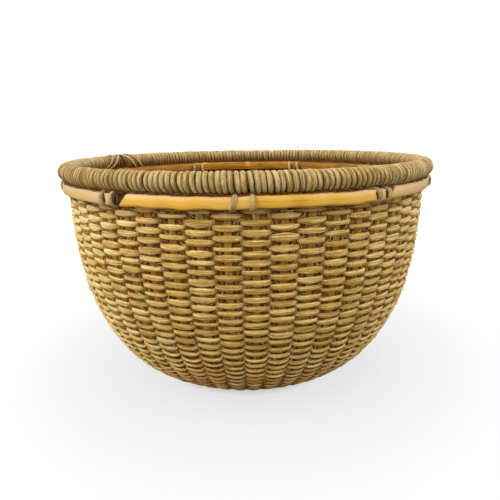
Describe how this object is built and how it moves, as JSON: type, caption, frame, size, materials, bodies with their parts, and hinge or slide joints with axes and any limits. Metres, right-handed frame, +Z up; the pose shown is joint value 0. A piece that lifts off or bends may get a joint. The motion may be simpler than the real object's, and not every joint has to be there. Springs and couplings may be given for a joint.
{
  "type": "woven basket",
  "caption": "Round open basket of flat cane stakes and woven strand, with a plaited flat base, lashed hoops and a thick strand-wrapped rim, for holding and carrying loose things.",
  "frame": {"origin": "centre of the flat base, on the surface the basket stands on", "axes": "+Z up through the mouth, -Y towards the front of the pictured view, +X to its right"},
  "size_m": [0.28, 0.28, 0.1685],
  "materials": {
    "stake_cane": "dry split cane, darker ochre, matt",
    "weave_cane": "dry round strand, tan to straw yellow, matt with worn sheen",
    "hoop_cane": "smooth split cane pole, yellow-orange, satin",
    "core_fibre": "bundle of dry fibre, hidden",
    "wrap_cane": "dry wound strand, greyish beige, matt",
    "lash_cane": "thin flat cane strip, pale, satin"
  },
  "bodies": {
    "root": {"stake_01": "stake_cane", "stake_02": "stake_cane", "stake_03": "stake_cane", "stake_04": "stake_cane", "stake_05": "stake_cane", "stake_06": "stake_cane", "stake_07": "stake_cane", "stake_08": "stake_cane", "stake_09": "stake_cane", "stake_10": "stake_cane", "stake_11": "stake_cane", "stake_12": "stake_cane", "stake_13": "stake_cane", "stake_14": "stake_cane", "stake_15": "stake_cane", "stake_16": "stake_cane", "stake_17": "stake_cane", "stake_18": "stake_cane", "stake_19": "stake_cane", "stake_20": "stake_cane", "stake_21": "stake_cane", "stake_22": "stake_cane", "stake_23": "stake_cane", "stake_24": "stake_cane", "stake_25": "stake_cane", "stake_26": "stake_cane", "outer_weave_1": "weave_cane", "outer_weave_2": "weave_cane", "outer_weave_3": "weave_cane", "outer_weave_4": "weave_cane", "outer_weave_5": "weave_cane", "inner_weave_1": "weave_cane", "inner_weave_2": "weave_cane", "inner_weave_3": "weave_cane", "inner_weave_4": "weave_cane", "inner_weave_5": "weave_cane", "outer_hoop": "hoop_cane", "inner_hoop": "hoop_cane", "rim_core": "core_fibre", "rim_wrap": "wrap_cane", "lashing_1": "lash_cane", "lashing_2": "lash_cane", "lashing_3": "lash_cane", "lashing_4": "lash_cane", "lashing_5": "lash_cane", "lashing_6": "lash_cane", "lashing_7": "lash_cane", "lashing_8": "lash_cane", "lashing_9": "lash_cane", "joint_tie_left": "lash_cane", "joint_tie_right": "lash_cane"}
  },
  "joints": []
}
